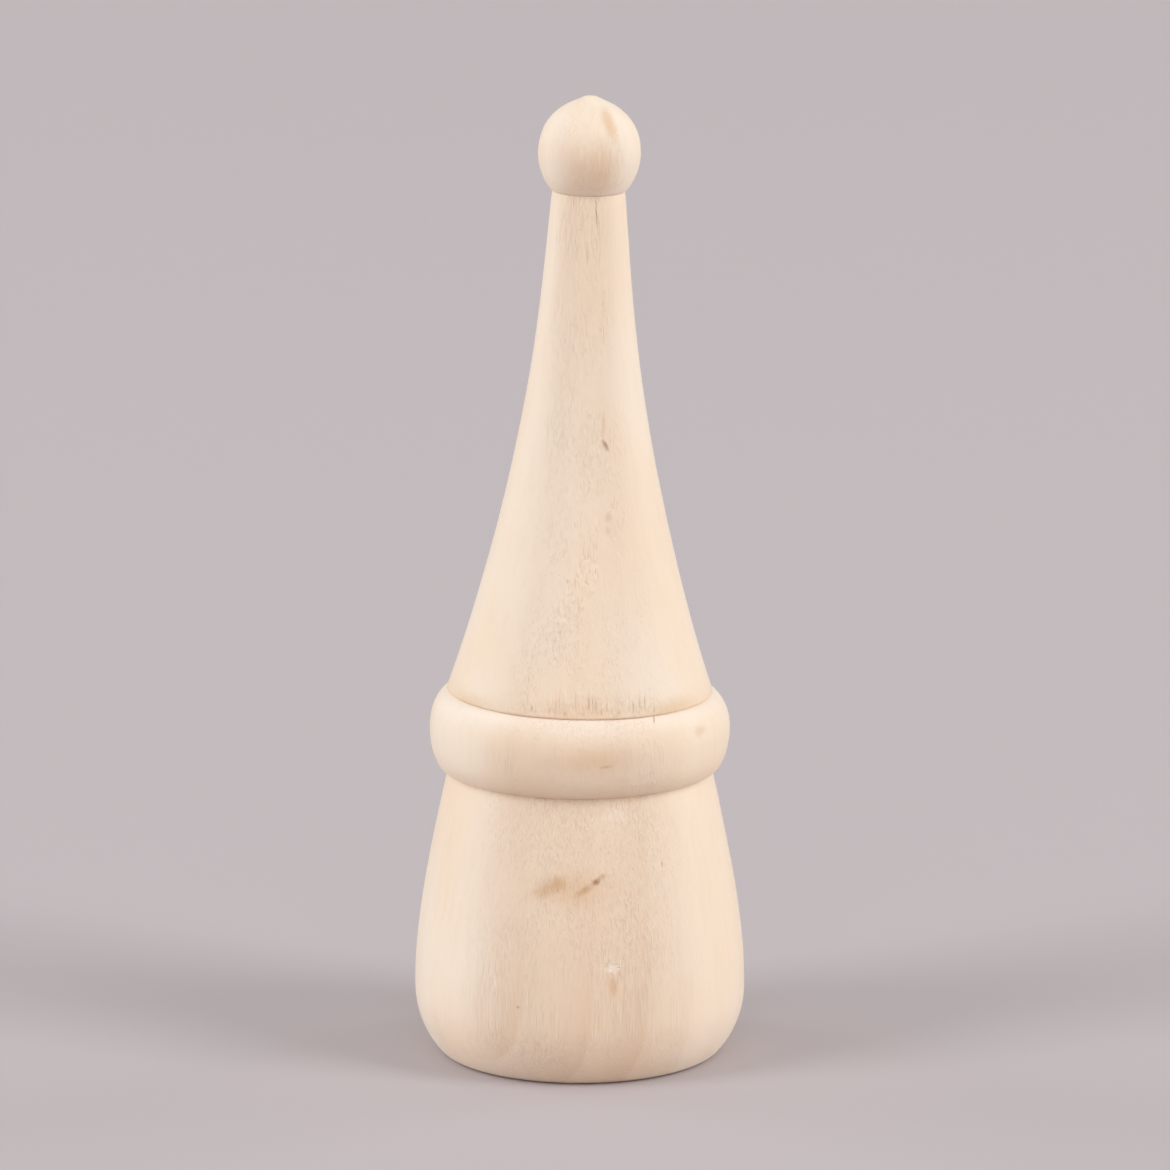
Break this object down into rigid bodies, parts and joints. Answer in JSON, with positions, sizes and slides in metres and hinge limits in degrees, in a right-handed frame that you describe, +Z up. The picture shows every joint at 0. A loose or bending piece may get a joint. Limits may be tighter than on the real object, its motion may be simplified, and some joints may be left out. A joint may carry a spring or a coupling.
{
  "type": "turned wooden gnome figure",
  "caption": "Small free-standing gnome figure of raw turned wood, with a round body, a rolled hat brim, a tall leaning hat and a bobble.",
  "frame": {"origin": "middle of the flat foot, on the surface that the figure stands on", "axes": "+Z up along the turned body, front towards -Y, and the hat leans a little towards +X"},
  "size_m": [0.034, 0.034, 0.1],
  "materials": {
    "body_wood": "raw sanded pale hardwood, unpainted",
    "brim_wood": "raw sanded pale hardwood, unpainted",
    "hat_wood": "raw sanded pale hardwood, unpainted",
    "bobble_wood": "raw sanded pale hardwood, unpainted",
    "dowel_beech": "fluted dowel rod"
  },
  "bodies": {
    "root": {"body": "body_wood", "brim": "brim_wood", "hat": "hat_wood", "bobble": "bobble_wood", "hat_dowel": "dowel_beech", "bobble_dowel": "dowel_beech"}
  },
  "joints": []
}
